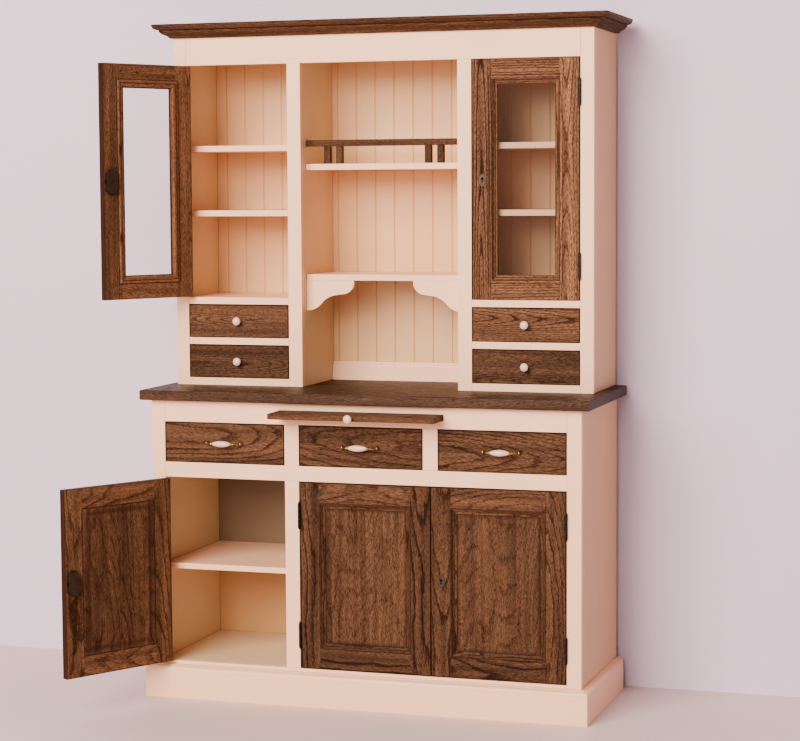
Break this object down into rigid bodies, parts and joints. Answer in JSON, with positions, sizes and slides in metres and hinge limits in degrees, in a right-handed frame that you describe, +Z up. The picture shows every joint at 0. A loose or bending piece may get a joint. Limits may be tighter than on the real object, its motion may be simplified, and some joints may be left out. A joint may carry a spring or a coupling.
{
  "type": "buffet cabinet",
  "caption": "Two-part kitchen buffet: panelled base with drawers and a pull-out board, and a set-back upper unit with glazed doors, small drawers and an open niche.",
  "frame": {"origin": "on the floor, under the centre of the base's footprint", "axes": "+X to the right as seen from the front, +Y to the back, +Z up"},
  "size_m": [1.4251, 0.7846, 1.918],
  "materials": {
    "cream_paint": "satin",
    "stained_oak": "satin",
    "white_china": "gloss",
    "brass": "satin",
    "dark_iron": "satin",
    "clear_glass": "gloss"
  },
  "bodies": {
    "cabinet": {"base_back": "cream_paint", "base_floor": "cream_paint", "base_frame_rails": "cream_paint", "base_frame_stiles": "cream_paint", "base_shelves": "cream_paint", "base_uprights": "cream_paint", "cornice_boards": "stained_oak", "drawer_runners": "cream_paint", "gallery_rail": "stained_oak", "hinge_frame_leaves": "dark_iron", "niche_shelves": "cream_paint", "niche_skirting": "cream_paint", "plinth_boards": "cream_paint", "scroll_brackets": "cream_paint", "upper_back_boards": "cream_paint", "upper_frame_rails": "cream_paint", "upper_frame_stiles": "cream_paint", "upper_partitions": "cream_paint", "upper_shelves": "cream_paint", "upper_sides": "cream_paint", "upper_top_panel": "cream_paint", "worktop": "stained_oak"},
    "lower_left_door": {"lower_left_door_frame": "stained_oak", "lower_left_door_ironwork": "dark_iron", "lower_left_door_panel": "stained_oak"},
    "lower_left_door_lock_bolt": {"lower_left_door_lock_bolt": "dark_iron"},
    "lower_centre_door": {"lower_centre_door_frame": "stained_oak", "lower_centre_door_ironwork": "dark_iron", "lower_centre_door_panel": "stained_oak"},
    "lower_right_door": {"lower_right_door_frame": "stained_oak", "lower_right_door_ironwork": "dark_iron", "lower_right_door_panel": "stained_oak"},
    "lower_right_door_lock_bolt": {"lower_right_door_lock_bolt": "dark_iron"},
    "upper_left_door": {"upper_left_door_frame": "stained_oak", "upper_left_door_glass": "clear_glass", "upper_left_door_ironwork": "dark_iron"},
    "upper_left_door_lock_bolt": {"upper_left_door_lock_bolt": "dark_iron"},
    "upper_right_door": {"upper_right_door_frame": "stained_oak", "upper_right_door_glass": "clear_glass", "upper_right_door_ironwork": "dark_iron"},
    "upper_right_door_lock_bolt": {"upper_right_door_lock_bolt": "dark_iron"},
    "left_drawer": {"left_drawer": "stained_oak", "left_drawer_handle": "brass", "left_drawer_handle_grip": "white_china"},
    "centre_drawer": {"centre_drawer": "stained_oak", "centre_drawer_handle": "brass", "centre_drawer_handle_grip": "white_china"},
    "right_drawer": {"right_drawer": "stained_oak", "right_drawer_handle": "brass", "right_drawer_handle_grip": "white_china"},
    "small_drawer_left_upper": {"small_drawer_left_upper": "stained_oak", "small_drawer_left_upper_knob": "white_china"},
    "small_drawer_left_lower": {"small_drawer_left_lower": "stained_oak", "small_drawer_left_lower_knob": "white_china"},
    "small_drawer_right_upper": {"small_drawer_right_upper": "stained_oak", "small_drawer_right_upper_knob": "white_china"},
    "small_drawer_right_lower": {"small_drawer_right_lower": "stained_oak", "small_drawer_right_lower_knob": "white_china"},
    "pull_out_board": {"pull_out_board": "stained_oak", "pull_out_board_knob": "white_china"}
  },
  "joints": [
    {"name": "lower_left_door_hinges", "type": "hinge", "parent": "cabinet", "child": "lower_left_door", "pos_m": [-0.5835, -0.2163, 0.37], "axis": [0, 0, -1], "range_deg": [-120, 50]},
    {"name": "lower_left_door_lock_bolt_slide", "type": "slide", "parent": "lower_left_door", "child": "lower_left_door_lock_bolt", "axis": [-0.5, -0.866, 0], "range_m": [0, 0.01]},
    {"name": "lower_centre_door_hinges", "type": "hinge", "parent": "cabinet", "child": "lower_centre_door", "pos_m": [-0.1798, -0.2163, 0.37], "axis": [0, 0, -1], "range_deg": [0, 170]},
    {"name": "lower_right_door_hinges", "type": "hinge", "parent": "cabinet", "child": "lower_right_door", "pos_m": [0.5835, -0.2163, 0.37], "axis": [0, 0, 1], "range_deg": [0, 170]},
    {"name": "lower_right_door_lock_bolt_slide", "type": "slide", "parent": "lower_right_door", "child": "lower_right_door_lock_bolt", "axis": [-1, 0, 0], "range_m": [0, 0.01]},
    {"name": "upper_left_door_hinges", "type": "hinge", "parent": "cabinet", "child": "upper_left_door", "pos_m": [-0.5794, -0.0428, 1.468], "axis": [0, 0, -1], "range_deg": [-120, 50]},
    {"name": "upper_left_door_lock_bolt_slide", "type": "slide", "parent": "upper_left_door", "child": "upper_left_door_lock_bolt", "axis": [-0.5, -0.866, 0], "range_m": [0, 0.01]},
    {"name": "upper_right_door_hinges", "type": "hinge", "parent": "cabinet", "child": "upper_right_door", "pos_m": [0.5794, -0.0428, 1.468], "axis": [0, 0, 1], "range_deg": [0, 170]},
    {"name": "upper_right_door_lock_bolt_slide", "type": "slide", "parent": "upper_right_door", "child": "upper_right_door_lock_bolt", "axis": [-1, 0, 0], "range_m": [0, 0.01]},
    {"name": "left_drawer_slide", "type": "slide", "parent": "cabinet", "child": "left_drawer", "axis": [0, -1, 0], "range_m": [0, 0.3]},
    {"name": "centre_drawer_slide", "type": "slide", "parent": "cabinet", "child": "centre_drawer", "axis": [0, -1, 0], "range_m": [0, 0.3]},
    {"name": "right_drawer_slide", "type": "slide", "parent": "cabinet", "child": "right_drawer", "axis": [0, -1, 0], "range_m": [0, 0.3]},
    {"name": "small_drawer_left_upper_slide", "type": "slide", "parent": "cabinet", "child": "small_drawer_left_upper", "axis": [0, -1, 0], "range_m": [0, 0.17]},
    {"name": "small_drawer_left_lower_slide", "type": "slide", "parent": "cabinet", "child": "small_drawer_left_lower", "axis": [0, -1, 0], "range_m": [0, 0.17]},
    {"name": "small_drawer_right_upper_slide", "type": "slide", "parent": "cabinet", "child": "small_drawer_right_upper", "axis": [0, -1, 0], "range_m": [0, 0.17]},
    {"name": "small_drawer_right_lower_slide", "type": "slide", "parent": "cabinet", "child": "small_drawer_right_lower", "axis": [0, -1, 0], "range_m": [0, 0.17]},
    {"name": "pull_out_board_slide", "type": "slide", "parent": "cabinet", "child": "pull_out_board", "axis": [0, -1, 0], "range_m": [-0.09, 0.21]}
  ]
}
